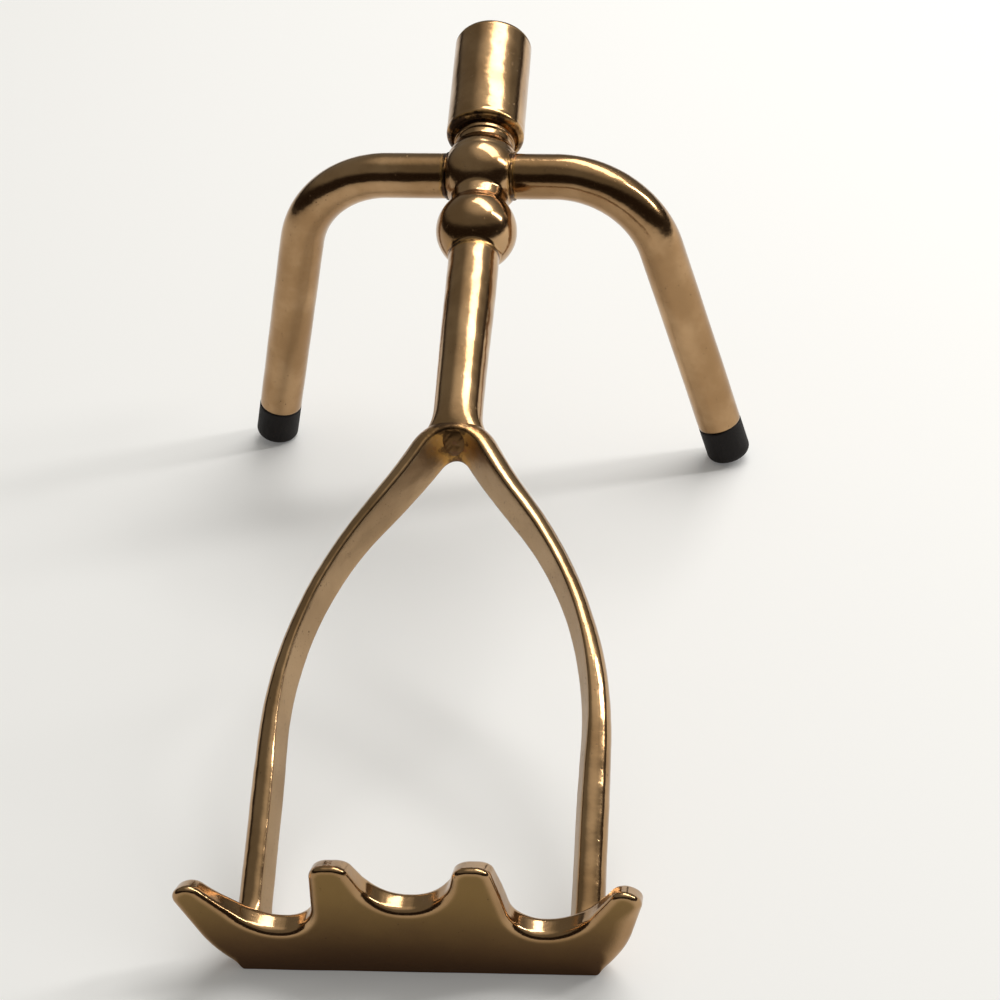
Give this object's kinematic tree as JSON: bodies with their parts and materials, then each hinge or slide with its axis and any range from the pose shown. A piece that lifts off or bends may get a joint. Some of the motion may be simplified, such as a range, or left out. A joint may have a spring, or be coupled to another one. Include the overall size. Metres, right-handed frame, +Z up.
{
  "type": "cue rest head",
  "caption": "Long-necked brass head for a cue rest: shaft socket, bent legs on rubber tips, and a wishbone fork carrying a notched crown for the cue.",
  "frame": {"origin": "middle of the crown's flat foot, on the table", "axes": "+Z up; +Y level, from the crown towards the shaft; +X to the right seen from the crown's side"},
  "size_m": [0.1442, 0.2455, 0.1146],
  "materials": {
    "brass_polished": "polished, slightly worn",
    "brass_satin": "satin faces with polished rims",
    "rubber": "matte moulded black"
  },
  "bodies": {
    "head": {"ferrule": "brass_polished", "hub": "brass_polished", "neck": "brass_polished", "fork": "brass_polished", "crown": "brass_satin", "leg_left": "brass_polished", "leg_right": "brass_polished"},
    "left_tip": {"tip_left": "rubber"},
    "right_tip": {"tip_right": "rubber"}
  },
  "joints": [
    {"name": "left_tip_slide", "type": "slide", "parent": "head", "child": "left_tip", "axis": [-0.2616, 0.0562, -0.9635], "range_m": [0, 0.014]},
    {"name": "right_tip_slide", "type": "slide", "parent": "head", "child": "right_tip", "axis": [0.2364, -0.0152, -0.9715], "range_m": [0, 0.014]}
  ]
}
